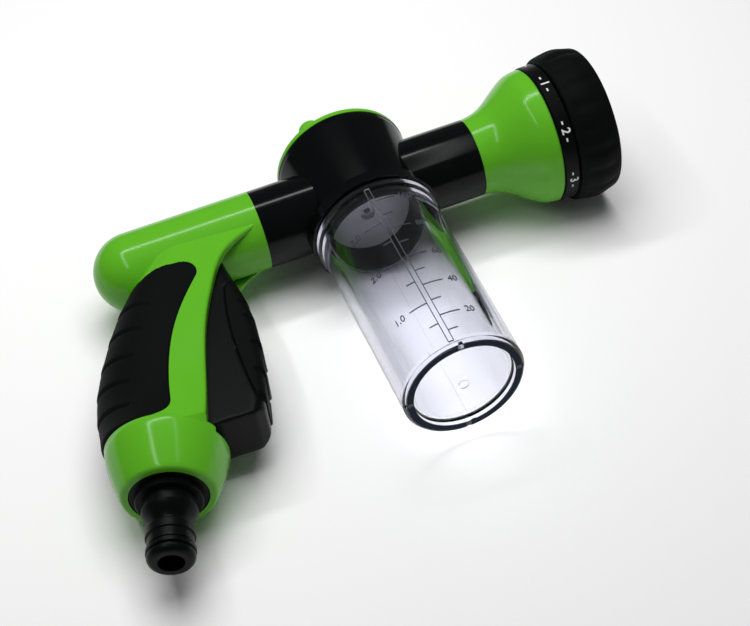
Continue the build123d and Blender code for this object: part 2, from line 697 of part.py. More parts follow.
# ---- green bell ----
with BuildPart() as bell_housing:
    with BuildSketch(Plane.XZ):
        with BuildLine():
            Polyline(
                (bell_tail, 0), (bell_tail, spigot_radius), (bell_back - 0.2, spigot_radius),
                (bell_back - 0.2, 15.9), (bell_back, 15.9),
            )
            Spline(
                (bell_back, 15.9), (57.0, 17.5), (64.1, 21.8), (71.2, 26.5),
                (bell_front - 0.6, bell_front_radius),
                tangents=((1, 0.1), (1, 0.12)),
            )
            Polyline(
                (bell_front - 0.6, bell_front_radius), (bell_front, bell_front_radius - 0.5),
                (bell_front, 0), (bell_tail, 0),
            )
        make_face()
    revolve(axis=Axis.X)
    # hollow behind the port plate
    with BuildSketch(Plane.XZ):
        with BuildLine():
            Polyline((bell_tail, 0), (bell_tail, waterway_radius + 1.0), (50.0, waterway_radius + 1.0))
            Spline(
                (50.0, waterway_radius + 1.0), (56.0, 12.0), (63.5, 18.6), (port_plate_back, 23.8),
                tangents=((1, 0.2), (1, 0.4)),
            )
            Polyline((port_plate_back, 23.8), (port_plate_back, post_radius), (66.0, post_radius))
            Polyline((66.0, post_radius), (66.0, 0), (bell_tail, 0))
        make_face()
    revolve(axis=Axis.X, mode=Mode.SUBTRACT)
    # shallow well in front of it, with the post left standing
    with BuildSketch(Plane.YZ.offset(bell_front)):
        Circle(bell_front_radius - bell_wall)
        Circle(post_radius, mode=Mode.SUBTRACT)
    extrude(amount=port_plate_front - bell_front, mode=Mode.SUBTRACT)
    with BuildSketch(Plane.YZ.offset(bell_front)):
        Circle(post_radius)
    extrude(amount=post_length)
    with BuildSketch(Plane.YZ.offset(screw_tip)):
        Circle(screw_radius)
    extrude(amount=bell_front + post_length - screw_tip, mode=Mode.SUBTRACT)
    with BuildSketch(Plane.YZ.offset(port_plate_back)):
        with Locations((0, port_circle)):
            Circle(port_radius)
        with Locations((0, -detent_circle)):
            Circle(1.7)
    extrude(amount=bell_front - port_plate_back, mode=Mode.SUBTRACT)
    with BuildSketch(Plane.YZ.offset(port_plate_back)):
        with Locations((0, -detent_circle)):
            Circle(2.6)
    extrude(amount=0.9)
    # groove of the front seal
    with BuildSketch(Plane.YZ.offset(tube_front - 12.0)):
        Circle(spigot_radius + 1.0)
        Circle(spigot_radius - o_ring_thickness + 0.1, mode=Mode.SUBTRACT)
    extrude(amount=o_ring_thickness + 0.4, mode=Mode.SUBTRACT)

front_seal_plane = Plane(
    origin=(tube_front - 11.8 + o_ring_thickness / 2, 0, 0), x_dir=(0, 1, 0), z_dir=(1, 0, 0)
)
with BuildPart() as front_o_ring:
    add(o_ring(front_seal_plane, spigot_radius - o_ring_thickness / 2 + o_ring_squeeze, o_ring_thickness))

with BuildPart() as head_seal:
    with BuildSketch(Plane.YZ.offset(port_plate_front)):
        with Locations((0, port_circle)):
            Circle(port_radius + 1.6)
            Circle(port_radius - 0.2, mode=Mode.SUBTRACT)
    extrude(amount=3.6)

with BuildPart() as detent_spring:
    with BuildSketch(Plane.YZ.offset(port_plate_back + 1.0)):
        with Locations((0, -detent_circle)):
            Circle(detent_ball_radius)
            Circle(0.9, mode=Mode.SUBTRACT)
    extrude(amount=3.6)

with BuildPart() as detent_ball:
    with Locations((detent_ball_at, 0, -detent_circle)):
        Sphere(detent_ball_radius)

# ---- turning spray head ----
disc_back = bell_front + head_gap + 0.1
disc_thickness = 3.1
detent_race_depth = 0.45
hub_front = 95.0
with BuildPart() as pattern_disc:
    with BuildSketch(Plane.YZ.offset(disc_back)):
        Circle(ring_inner)
    extrude(amount=disc_thickness)
    with BuildSketch(Plane.YZ.offset(disc_back + disc_thickness)):
        Circle(8.0)
    extrude(amount=hub_front - disc_back - disc_thickness)
    with BuildSketch(Plane.YZ.offset(disc_back)):
        Circle(post_radius + running_clearance)
        with PolarLocations(port_circle, pattern_count, start_angle=90.0):
            Circle(port_radius - 1.0)
    extrude(amount=disc_thickness, mode=Mode.SUBTRACT)
    with BuildSketch(Plane.YZ.offset(disc_back)):
        Circle(screw_radius + 0.3)
    extrude(amount=hub_front - disc_back, mode=Mode.SUBTRACT)
    # race that the detent ball rolls in, and the dimples that it drops into
    with BuildSketch(Plane.YZ.offset(disc_back)):
        Circle(detent_circle + 1.4)
        Circle(detent_circle - 1.4, mode=Mode.SUBTRACT)
    extrude(amount=detent_race_depth, mode=Mode.SUBTRACT)
    with BuildSketch(Plane.YZ.offset(disc_back)):
        with PolarLocations(detent_circle, pattern_count, start_angle=90.0):
            Circle(1.8)
    extrude(amount=detent_race_depth + 0.4, mode=Mode.SUBTRACT)
    # walls between the eight water chambers
    with BuildSketch(Plane.YZ.offset(disc_back + disc_thickness)):
        with PolarLocations(16.5, pattern_count, start_angle=90.0 + 180.0 / pattern_count):
            Rectangle(18.4, 1.4)
    extrude(amount=hub_front - disc_back - disc_thickness)

with BuildPart() as head_screw:
    with BuildSketch(Plane.YZ.offset(screw_tip)):
        Circle(screw_radius)
    extrude(amount=hub_front + 0.2 - screw_tip)
    with BuildSketch(Plane.YZ.offset(hub_front + 0.2)):
        Circle(4.2)
    extrude(amount=2.4)
    fillet(head_screw.edges().sort_by(Axis.X)[-1], 0.8)
    with BuildSketch(Plane.YZ.offset(hub_front + 2.6)):
        Rectangle(5.0, 1.0)
        Rectangle(1.0, 5.0)
    extrude(amount=-1.4, mode=Mode.SUBTRACT)

with BuildPart() as label_ring:
    with BuildSketch(Plane.YZ.offset(bell_front + head_gap)):
        Circle(ring_radius)
        Circle(ring_inner, mode=Mode.SUBTRACT)
    extrude(amount=ring_front - bell_front - head_gap)
    chamfer(label_ring.edges().filter_by(GeomType.CIRCLE).sort_by(SortBy.RADIUS)[-2:], 0.35)

with BuildPart() as spray_head:
    with BuildSketch(Plane.XZ):
        with BuildLine():
            Polyline((head_back, head_inner), (head_back, 29.2))
            Spline(
                (head_back, 29.2), (87.4, 30.5), (94.0, head_radius), (head_front - 1.6, 29.8),
                tangents=((0.4, 1), (1, -0.35)),
            )
            ThreePointArc((head_front - 1.6, 29.8), (head_front - 0.3, 29.0), (head_front, 27.8))
            Polyline((head_front, 27.8), (head_front, head_inner), (head_back, head_inner))
        make_face()
    revolve(axis=Axis.X)

with BuildPart() as face_plate:
    with BuildSketch(Plane.YZ.offset(face_at)):
        Circle(head_inner)
        Circle(1.5, mode=Mode.SUBTRACT)
        for ring, holes, hole_radius in ((6.0, 8, 0.7), (11.0, 16, 0.7), (16.0, 8, 1.6), (21.0, 32, 0.6)):
            with PolarLocations(ring, holes):
                Circle(hole_radius, mode=Mode.SUBTRACT)
    extrude(amount=face_thickness)

# ---- laying the gun down on its left side ----
# It settles on the head's rim, the dial's rim and the hose collar, so the middle
# plane rises a little towards the head.
collar_reach = (collar_centre[0], collar_centre[2])
rim_spread = head_radius - dial_radius
dial_rim_height = 21.0
head_middle = (head_back + head_front) / 2
collar_share = collar_reach[1] / dial_rim_height
rise_forward = (collar_radius - head_radius + collar_share * rim_spread) / (
    collar_reach[0] - head_middle + collar_share * head_middle
)
rise_up = (head_middle * rise_forward - rim_spread) / dial_rim_height
laid_down = Location((0, 0, 0), (degrees(atan(rise_up)), 0, 0)) * Location(
    (0, 0, 0), (0, -degrees(atan(rise_forward)), 0)
) * Location((0, 0, 0), (-90, 0, 0))

pieces = {
    "handle_body": handle_body,
    "grip_insert": grip_insert,
    "trigger": trigger,
    "trigger_pad": trigger_pad,
    "trigger_pin": trigger_pin,
    "valve_stem": valve_stem,
    "valve_washer": valve_washer,
    "valve_gland": valve_gland,
    "gland_o_ring": gland_o_ring,
    "spring_cap": spring_cap,
    "valve_spring": valve_spring,
    "valve_plug": valve_plug,
    "inlet_connector": inlet_connector,
    "connector_washer": connector_washer,
    "inlet_filter": inlet_filter,
    "mixer_housing": mixer_housing,
    "rear_o_ring": rear_o_ring,
    "mixing_plate": mixing_plate,
    "cup_gasket": cup_gasket,
    "selector_spindle": selector_spindle,
    "spindle_o_ring": spindle_o_ring,
    "selector_dial": selector_dial,
    "soap_cup": soap_cup,
    "bell_housing": bell_housing,
    "front_o_ring": front_o_ring,
    "head_seal": head_seal,
    "detent_spring": detent_spring,
    "detent_ball": detent_ball,
    "pattern_disc": pattern_disc,
    "head_screw": head_screw,
    "label_ring": label_ring,
    "spray_head": spray_head,
    "face_plate": face_plate,
}
whole_gun = Compound([piece.part.moved(laid_down) for piece in pieces.values()])
box = whole_gun.bounding_box()
rest_place = Location((-box.center().X, -box.center().Y, -box.min.Z)) * laid_down

os.makedirs("parts", exist_ok=True)
for name, piece in pieces.items():
    resting = piece.part.moved(rest_place)
    resting.label = name
    export_step(resting, f"parts/{name}.step")
print("rest place", rest_place)
print("rise forward", rise_forward)
print("rise up", rise_up)
print("size", box.size)
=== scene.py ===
import json
import math

import bmesh
import bpy
from mathutils import Matrix, Vector


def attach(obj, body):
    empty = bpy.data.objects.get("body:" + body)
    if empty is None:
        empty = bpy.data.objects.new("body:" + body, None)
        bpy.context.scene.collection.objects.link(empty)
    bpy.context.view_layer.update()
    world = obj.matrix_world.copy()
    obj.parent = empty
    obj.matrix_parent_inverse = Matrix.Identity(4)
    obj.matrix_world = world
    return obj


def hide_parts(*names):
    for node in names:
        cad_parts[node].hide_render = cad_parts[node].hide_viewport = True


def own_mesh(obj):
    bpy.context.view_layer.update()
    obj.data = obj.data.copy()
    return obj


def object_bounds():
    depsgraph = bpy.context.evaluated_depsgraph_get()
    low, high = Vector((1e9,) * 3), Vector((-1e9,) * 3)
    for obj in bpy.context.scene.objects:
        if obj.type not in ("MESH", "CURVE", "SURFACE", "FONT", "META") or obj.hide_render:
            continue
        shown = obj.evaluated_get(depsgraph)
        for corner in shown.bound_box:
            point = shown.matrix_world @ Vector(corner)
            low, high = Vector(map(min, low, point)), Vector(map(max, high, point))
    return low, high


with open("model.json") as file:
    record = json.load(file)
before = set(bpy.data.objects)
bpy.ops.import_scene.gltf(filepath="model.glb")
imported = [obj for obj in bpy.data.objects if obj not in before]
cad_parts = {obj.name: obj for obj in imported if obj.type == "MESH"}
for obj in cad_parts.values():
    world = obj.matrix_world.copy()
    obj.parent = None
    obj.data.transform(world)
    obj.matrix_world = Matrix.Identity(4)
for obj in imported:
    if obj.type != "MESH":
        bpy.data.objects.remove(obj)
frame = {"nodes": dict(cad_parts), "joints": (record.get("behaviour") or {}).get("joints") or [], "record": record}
cad_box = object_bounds()

NODES = frame["nodes"]
JOINTS = {joint["name"]: joint for joint in frame["joints"]}
MOUNTS = {mount["name"]: mount for mount in frame["record"]["mounts"]}
MM = 0.001


# ---------------------------------------------------------------- places on the gun

def frame_matrix(origin, x_axis, y_axis, z_axis):
    """A matrix from millimetres along three axes to a place in metres."""
    turn = Matrix((x_axis, y_axis, z_axis)).transposed()
    return Matrix.Translation(origin) @ turn.to_4x4() @ Matrix.Scale(MM, 4)


forward = Vector(JOINTS["head_turn"]["axis"])
left = Vector(JOINTS["trigger_pull"]["axis"])
up = Vector(JOINTS["dial_turn"]["axis"])
on_dial_axis = Vector(JOINTS["dial_turn"]["pos_m"])
on_head_axis = Vector(JOINTS["head_turn"]["pos_m"])
crossing = on_dial_axis + up * (on_head_axis - on_dial_axis).dot(up)

# The gun's own axes: x forward along the barrel, y to its left, z up through the dial.
GUN = frame_matrix(crossing, forward, left, up)

# The handle's axes: x across it towards the trigger, y to the gun's left, z up its length.
inlet_below_collar = 27.0
inlet = MOUNTS["water_inlet"]
along = -Vector(inlet["axis"])
handle_foot = Vector(inlet["pos_m"]) + along * (inlet_below_collar * MM)
HANDLE = frame_matrix(handle_foot, left.cross(along), left, along)


# ---------------------------------------------------------------- shader kit

class Value:
    """A number that changes over a surface. Python arithmetic on it adds Math nodes."""

    def __init__(self, finish, socket):
        self.finish = finish
        self.socket = socket

    def math(self, operation, *others):
        values = [self.socket]
        values += [other.socket if isinstance(other, Value) else other for other in others]
        node = self.finish.add("ShaderNodeMath", {"operation": operation}, dict(enumerate(values)))
        return Value(self.finish, node.outputs[0])

    def __add__(self, other):
        return self.math("ADD", other)

    __radd__ = __add__

    def __sub__(self, other):
        return self.math("SUBTRACT", other)

    def __mul__(self, other):
        return self.math("MULTIPLY", other)

    __rmul__ = __mul__

    def clamp(self):
        return self.math("MAXIMUM", 0.0).math("MINIMUM", 1.0)


class Finish:
    """One material: its node tree, its shader and the patterns that feed it."""

    def __init__(self, name, **constants):
        self.material = bpy.data.materials.new(name)
        self.material.use_nodes = True
        self.tree = self.material.node_tree
        self.tree.nodes.clear()
        self.shader = self.add("ShaderNodeBsdfPrincipled")
        for socket, value in constants.items():
            self.shader.inputs[socket.replace("_", " ")].default_value = value
        self.output = self.add("ShaderNodeOutputMaterial", {}, {"Surface": self.shader.outputs[0]})

    def add(self, kind, settings=None, sockets=None):
        """A node of that kind, with its settings and the values or links of its sockets."""
        node = self.tree.nodes.new(kind)
        for setting, value in (settings or {}).items():
            setattr(node, setting, value)
        for socket, value in (sockets or {}).items():
            if isinstance(value, Value):
                value = value.socket
            if isinstance(value, bpy.types.NodeSocket):
                self.tree.links.new(value, node.inputs[socket])
            else:
                node.inputs[socket].default_value = value
        return node

    def place(self, stretch=(1, 1, 1)):
        """Where a point lies on the gun, stretched along each axis."""
        where = self.add("ShaderNodeTexCoord").outputs["Object"]
        sockets = {0: where, 1: stretch}
        return self.add("ShaderNodeVectorMath", {"operation": "MULTIPLY"}, sockets).outputs[0]

    def noise(self, size_mm, detail=2.0, stretch=(1, 1, 1)):
        """Soft noise from 0 to 1, whose patches are about size_mm across."""
        sockets = {"Vector": self.place(stretch), "Scale": 1 / (size_mm * MM), "Detail": detail}
        return Value(self, self.add("ShaderNodeTexNoise", {}, sockets).outputs["Fac"])

    def cells(self, size_mm):
        """Distance to the nearest of many scattered points, size_mm apart."""
        sockets = {"Vector": self.place(), "Scale": 1 / (size_mm * MM)}
        return Value(self, self.add("ShaderNodeTexVoronoi", {}, sockets).outputs["Distance"])

    def colour(self, share, low, high):
        """Base Color that goes from low to high as share goes from 0 to 1."""
        mixed = self.add("ShaderNodeMix", {"data_type": "RGBA"})
        for socket, value in (("Factor", share), ("A", (*low, 1)), ("B", (*high, 1))):
            pin = next(s for s in mixed.inputs if s.name == socket and s.enabled)
            if isinstance(value, Value):
                self.tree.links.new(value.socket, pin)
            else:
                pin.default_value = value
        out = next(s for s in mixed.outputs if s.enabled)
        self.tree.links.new(out, self.shader.inputs["Base Color"])

    def roughness(self, value):
        self.tree.links.new(value.socket, self.shader.inputs["Roughness"])

    def bump(self, height, depth_mm):
        sockets = {"Height": height, "Distance": depth_mm * MM}
        normal = self.add("ShaderNodeBump", {}, sockets).outputs[0]
        self.tree.links.new(normal, self.shader.inputs["Normal"])


def shade(colour, amount):
    """A colour made lighter or darker by a share."""
    return tuple(channel * (1 + amount) for channel in colour)


# ---------------------------------------------------------------- finishes

def moulded(name, colour, gloss, variation=0.05, ripple_mm=0.0025, grain_mm=0.35, **constants):
    """Moulded plastic: faint flow marks in the colour, a slight orange-peel skin, uneven gloss."""
    finish = Finish(name, **constants)
    flow = finish.noise(9.0, 3.0, (1, 0.35, 1))
    finish.colour(flow, shade(colour, -variation), shade(colour, variation))
    skin = finish.noise(2.2, 2.0)
    grain = finish.noise(grain_mm, 2.0)
    finish.roughness(gloss * (0.85 + skin * 0.2 + grain * 0.1))
    finish.bump(skin * 0.7 + grain * 0.3, ripple_mm)
    return finish.material


def soft_touch(name, colour):
    """Soft moulded rubber with a fine spark-eroded grain."""
    finish = Finish(name, Specular_IOR_Level=0.07)
    pits = finish.cells(0.55)
    grain = finish.noise(0.3, 3.0)
    worn = finish.noise(14.0, 3.0)
    finish.colour(worn * 0.7 + grain * 0.3, shade(colour, -0.2), shade(colour, 0.35))
    finish.roughness((0.52 + worn * 0.12 + pits * 0.1).clamp())
    finish.bump(pits * 0.6 + grain * 0.4, 0.035)
    return finish.material


violet_cast = (0.40, 0.42, 0.95, 1)
cast_density = 13.0


def clear(name, colour):
    """Clear moulded styrene, with the violet cast that it has through its thickness."""
    finish = Finish(name, Transmission_Weight=1.0, IOR=1.56)
    flow = finish.noise(16.0, 2.0, (1, 0.25, 1))
    finish.colour(flow, shade(colour, -0.015), colour)
    finish.roughness(0.012 + flow * 0.012)
    depth = {"Color": violet_cast, "Density": cast_density}
    absorbed = finish.add("ShaderNodeVolumeAbsorption", {}, depth).outputs[0]
    finish.tree.links.new(absorbed, finish.output.inputs["Volume"])
    return finish.material


def metal(name, colour, gloss):
    """Bare metal with fine tool marks."""
    finish = Finish(name, Metallic=1.0)
    marks = finish.noise(0.5, 4.0)
    finish.colour(marks, shade(colour, -0.12), shade(colour, 0.08))
    finish.roughness(gloss * (0.7 + marks * 0.6))
    finish.bump(marks, 0.004)
    return finish.material


def printed(name, colour, shine=0.4):
    """Pad-printed ink, slightly uneven where it lies on the plastic; also used for the painted shade on the cup's
    foot and rib edges.
    """
    finish = Finish(name, Specular_IOR_Level=shine)
    speckle = finish.noise(0.25, 3.0)
    finish.colour(speckle, shade(colour, -0.1), colour)
    finish.roughness(0.4 + speckle * 0.15)
    return finish.material


FINISHES = {
    "green_plastic": moulded(
        "green_plastic", (0.112, 0.448, 0.018), 0.17, 0.03, Specular_IOR_Level=0.28
    ),
    "gloss_black": moulded(
        "gloss_black", (0.0026, 0.0030, 0.0032), 0.13, 0.2, 0.002, Specular_IOR_Level=0.16
    ),
    "satin_black": moulded(
        "satin_black", (0.0030, 0.0034, 0.0036), 0.34, 0.25, 0.008, Specular_IOR_Level=0.1
    ),
    "soft_black": soft_touch("soft_black", (0.0032, 0.0036, 0.0037)),
    "grey_plastic": moulded("grey_plastic", (0.72, 0.73, 0.74), 0.35, 0.05, 0.004),
    "clear_plastic": clear("clear_plastic", (0.915, 0.918, 0.945)),
    "brass": metal("brass", (0.72, 0.48, 0.18), 0.25),
    "steel": metal("steel", (0.56, 0.57, 0.58), 0.28),
    "rubber": moulded("rubber", (0.012, 0.012, 0.012), 0.55, 0.2, 0.012),
}
WHITE_INK = printed("white_ink", (0.84, 0.85, 0.86))
# Dark ink for the raised scale; on the beads down the rib's edges the same colour is painted shade.
SCALE_INK_AND_RIB_SHADE = printed("raised_scale_and_rib_shade", (0.055, 0.060, 0.085))
# Painted shade: the dark navy colour of the ring laid on the cup's foot.
PAINTED_FOOT_SHADE = printed("painted_foot_shade", (0.008, 0.016, 0.040), 0.08)


def finish_nodes():
    """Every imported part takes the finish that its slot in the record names."""
    for node in NODES.values():
        for material_slot in node.material_slots:
            slot = material_slot.material.name.split(".")[0]
            material_slot.link = "DATA"
            material_slot.material = FINISHES[slot]


# ---------------------------------------------------------------- making pieces

def piece(name, mesh, body, slot, material=None):
    """A mesh as a piece that rides on a body, with its own finish or its slot's."""
    made = bpy.data.objects.new(name, mesh)
    bpy.context.scene.collection.objects.link(made)
    mesh.materials.clear()
    mesh.materials.append(material or FINISHES[slot])
    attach(made, body)
    return made


def final_mesh(made):
    """The mesh of an object once its modifiers are applied."""
    graph = bpy.context.evaluated_depsgraph_get()
    return bpy.data.meshes.new_from_object(made.evaluated_get(graph))


def fine_copy(node, voxel_mm, softening=2):
    """A closed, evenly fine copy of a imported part's mesh, to be shaped further."""
    rough = bpy.data.objects.new("rough", NODES[node].data.copy())
    bpy.context.scene.collection.objects.link(rough)
    remesh = rough.modifiers.new("even", "REMESH")
    remesh.mode = "VOXEL"
    remesh.voxel_size = voxel_mm * MM
    remesh.use_smooth_shade = True
    smooth = rough.modifiers.new("smooth", "SMOOTH")
    smooth.factor = 0.5
    smooth.iterations = softening
    mesh = final_mesh(rough)
    bpy.data.objects.remove(rough)
    return mesh


def press_out(mesh, place, rise):
    """Moves each point out along its normal by rise, a function of its place in millimetres."""
    inverse = place.inverted()
    normals = [vertex.normal.copy() for vertex in mesh.vertices]
    for vertex, normal in zip(mesh.vertices, normals):
        facing = (inverse.to_3x3() @ normal).normalized()
        vertex.co += normal * (rise(inverse @ vertex.co, facing) * MM)
    mesh.update()


def smooth_step(low, high, value):
    """0 below low, 1 above high, and an even curve between."""
    share = min(1.0, max(0.0, (value - low) / (high - low)))
    return share * share * (3 - 2 * share)


# ---------------------------------------------------------------- soft grips

# Each groove across the grip: where its front end lies across and along the handle, and its slope.
grip_grooves = [(-2.0, 61.0), (-5.4, 48.9), (-8.2, 36.2), (-9.6, 24.4), (-9.6, 12.3), (-9.7, 1.2)]
groove_slope = -0.30
groove_depth = 0.75
groove_width = 0.8
groove_bend = 0.006
ridge_length = 5.5
ridge_rise = 0.35
grip_side_facing = 0.55


def grip_rise(point, facing):
    """How far the soft grip stands proud at a point, between and in its finger grooves."""
    if facing.x > grip_side_facing:
        return 0.0
    rise = 0.0
    for front, height in grip_grooves:
        behind = front - point.x
        bend = groove_bend * behind * behind
        level = height - groove_slope * behind - bend
        offset = (point.z - level) / groove_width
        fade = smooth_step(-0.5, 1.6, behind)
        rise -= groove_depth * fade * math.exp(-offset * offset)
        above = (point.z - level) / ridge_length
        if 0 < above < 1:
            swell = smooth_step(1.0, 9.0, behind) * smooth_step(0, 0.2, above)
            rise += ridge_rise * swell * (1 - above)
    return rise


def soft_grip():
    """The soft moulding round the back of the handle, with its slanted grooves."""
    mesh = fine_copy("grip_insert", 0.55)
    press_out(mesh, HANDLE, grip_rise)
    made = piece("soft_grip", mesh, "gun", "soft_black")
    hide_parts("grip_insert")


# Each groove across the trigger's pad: where it lies along the handle, and its share of the depth.
pad_grooves = [(58.0, 1.0), (49.8, 0.9), (36.1, 1.0), (22.6, 1.0), (10.6, 1.0)]
pad_slope = 0.55
pad_flat_half = 3.0
pad_groove_depth = 0.75
pad_groove_width = 0.8
scale_length = 9.0
scale_rise = 0.5
pad_side_facing, pad_front_facing = 0.1, 0.6


def pad_rise(point, facing):
    """How far the trigger's pad stands proud at a point, scale by scale."""
    if facing.x < pad_side_facing:
        return 0.0
    rise = 0.0
    for height, weight in pad_grooves:
        level = height + pad_slope * (abs(point.y) - pad_flat_half)
        offset = (point.z - level) / pad_groove_width
        rise -= pad_groove_depth * weight * math.exp(-offset * offset)
        above = (point.z - level) / scale_length
        if 0 < above < 1:
            rise += scale_rise * (1 - above) * smooth_step(0, 0.15, above)
    return rise * smooth_step(pad_side_facing, pad_front_facing, facing.x)


def trigger_skin():
    """The soft scaled front of the trigger."""
    mesh = fine_copy("trigger_pad", 0.4)
    press_out(mesh, HANDLE, pad_rise)
    made = piece("trigger_skin", mesh, "trigger", "soft_black")
    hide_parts("trigger_pad")


def trigger_lever():
    """The lever behind the pad, with its moulded edges softened."""
    mesh = fine_copy("trigger", 0.5, 12)
    made = piece("trigger_lever", mesh, "trigger", "satin_black")
    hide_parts("trigger")


def return_spring():
    """The valve's spring under the lever."""
    coil = NODES["valve_spring"].data.copy()
    made = piece("return_spring", coil, "gun", "steel")
    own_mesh(made)
    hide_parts("valve_spring")


head_lobes = 20
head_hollow_depth = 0.55
head_side_radius = 28.0
head_skin_back, head_skin_front = 86.0, 101.5


def head_rise(point, facing):
    """Shallow hollows for the fingers round the side of the spray head."""
    radius = math.hypot(point.y, point.z)
    if radius < head_side_radius:
        return 0.0
    turn = math.atan2(point.z, point.y)
    hollow = 0.5 + 0.5 * math.cos(head_lobes * turn)
    ends = smooth_step(head_skin_back, head_skin_back + 4, point.x)
    ends *= 1 - smooth_step(head_skin_front - 3, head_skin_front, point.x)
    return -head_hollow_depth * hollow * hollow * ends


def head_skin():
    """The soft shell of the head, with its finger hollows."""
    mesh = fine_copy("spray_head", 0.7)
    press_out(mesh, GUN, head_rise)
    made = piece("head_skin", mesh, "head", "soft_black")
    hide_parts("spray_head")


# ---------------------------------------------------------------- figures and scale marks

cap_height = 0.73


def glyphs(text, height_mm, thickness_mm, weight=0.0):
    """Flat raised figures as a mesh in millimetres, centred, with their depth along z."""
    curve = bpy.data.curves.new("figures", "FONT")
    curve.body = text
    curve.size = height_mm / cap_height
    curve.align_x = "CENTER"
    curve.align_y = "CENTER"
    curve.extrude = thickness_mm / 2
    curve.offset = weight
    curve.resolution_u = 4
    holder = bpy.data.objects.new("figures", curve)
    bpy.context.scene.collection.objects.link(holder)
    mesh = final_mesh(holder)
    bpy.data.objects.remove(holder)
    return mesh


longest_flat_edge = 0.6


def add_wrapped(builder, mesh, wrap):
    """Adds a flat mesh to builder with each point moved by wrap(across, up, out)."""
    part = bmesh.new()
    part.from_mesh(mesh)
    long_edges = [edge for edge in part.edges if edge.calc_length() > longest_flat_edge]
    bmesh.ops.subdivide_edges(part, edges=long_edges, cuts=2)
    bmesh.ops.triangulate(part, faces=part.faces)
    for vertex in part.verts:
        vertex.co = wrap(*vertex.co)
    part.normal_update()
    wrapped = bpy.data.meshes.new("wrapped")
    part.to_mesh(wrapped)
    part.free()
    builder.from_mesh(wrapped)
    bpy.data.meshes.remove(wrapped)


def closed_mesh(name, builder):
    """The finished mesh of a builder, welded, with every face turned outward."""
    bmesh.ops.remove_doubles(builder, verts=builder.verts, dist=1e-6)
    bmesh.ops.recalc_face_normals(builder, faces=builder.faces)
    mesh = bpy.data.meshes.new(name)
    builder.to_mesh(mesh)
    builder.free()
    return mesh


ring_radius = 28.5
ring_middle = 81.8
ring_figures = 8
ring_start = -5.0
ring_figure_height = 3.7
ring_figure_weight = 0.09
ink_thickness = 0.06


def ring_numbers():
    """The pattern numbers printed round the ring behind the head, one for each of its patterns."""
    builder = bmesh.new()
    for count in range(ring_figures):
        centre = math.radians(ring_start - 360 / ring_figures * count)

        def wrap(across, rise, out):
            angle = centre - across / ring_radius
            radius = ring_radius + ink_thickness / 2 + out
            side, height = -radius * math.cos(angle), radius * math.sin(angle)
            return GUN @ Vector((ring_middle + rise, side, height))

        figures = glyphs(f"- {count + 1} -", ring_figure_height, ink_thickness, ring_figure_weight)
        add_wrapped(builder, figures, wrap)
    mesh = closed_mesh("ring_numbers", builder)
    piece("ring_numbers", mesh, "head", "satin_black", WHITE_INK)


cup_wall_top, cup_radius_top = -23.8, 24.7
cup_wall_foot, cup_radius_foot = -110.8, 23.9
rib_azimuth = -6.5
rib_half_width = 2.3


def cup_surface(azimuth, height, out):
    """A point on the cup's outside, by its angle round from the gun's right towards the front."""
    share = (height - cup_wall_top) / (cup_wall_foot - cup_wall_top)
    radius = cup_radius_top + (cup_radius_foot - cup_radius_top) * share + out
    angle = math.radians(azimuth)
    return GUN @ Vector((radius * math.sin(angle), -radius * math.cos(angle), height))


def add_bar(builder, rings):
    """A closed bar through rings of four corners each."""
    rings = [[builder.verts.new(corner) for corner in ring] for ring in rings]
    for near, far in zip(rings, rings[1:]):
        for side in range(4):
            other = (side + 1) % 4
            builder.faces.new((near[side], near[other], far[other], far[side]))
    builder.faces.new(rings[0][::-1])
    builder.faces.new(rings[-1])


mark_half_width = 0.2
mark_sunk, mark_proud = -0.05, 0.22


def add_mark(builder, start, end, height):
    """A raised line round the cup from one angle to another."""
    steps = max(3, int(abs(end - start) / 2))
    corners = [
        (-mark_half_width, mark_sunk), (mark_half_width, mark_sunk),
        (mark_half_width, mark_proud), (-mark_half_width, mark_proud),
    ]
    angles = [start + (end - start) * step / steps for step in range(steps + 1)]
    add_bar(builder, [
        [cup_surface(azimuth, height + rise, out) for rise, out in corners] for azimuth in angles
    ])


# Each line of the two scales: its height, and the figure beside it. The halves have no figure.
right_scale = [(-30.8, "100"), (-47.2, "80"), (-63.4, "60"), (-79.1, "40"), (-95.5, "20")]
right_halves = [-39.0, -55.3, -71.3, -87.3, -103.3]
left_scale = [(-42.5, "3.0"), (-64.1, "2.0"), (-87.9, "1.0")]
left_halves = [-53.3, -76.3, -98.8]
right_line_end, right_half_end, right_figures = 14.5, 5.0, 24.0
left_line_end, left_half_end, left_figures = -26.0, -17.0, -37.0
scale_figure_height, scale_figure_thickness = 3.0, 0.3

# The beads down the rib's two edges carry a painted dark shade line.
rib_edge_width = 0.32
rib_edge_sunk, rib_edge_proud = 0.2, 0.62
rib_edge_top, rib_edge_foot = cup_wall_top - 0.4, cup_wall_foot + 2.2


def add_rib_edge_shade_line(builder, azimuth):
    """A thin upright bead down one edge of a rib, from the rim to the foot, carrying a painted dark shade line."""
    turn = math.degrees(rib_edge_width / 2 / cup_radius_top)
    corners = [
        (-turn, rib_edge_sunk), (turn, rib_edge_sunk), (turn, rib_edge_proud), (-turn, rib_edge_proud),
    ]
    add_bar(builder, [
        [cup_surface(azimuth + side, height, out) for side, out in corners]
        for height in (rib_edge_top, rib_edge_foot)
    ])


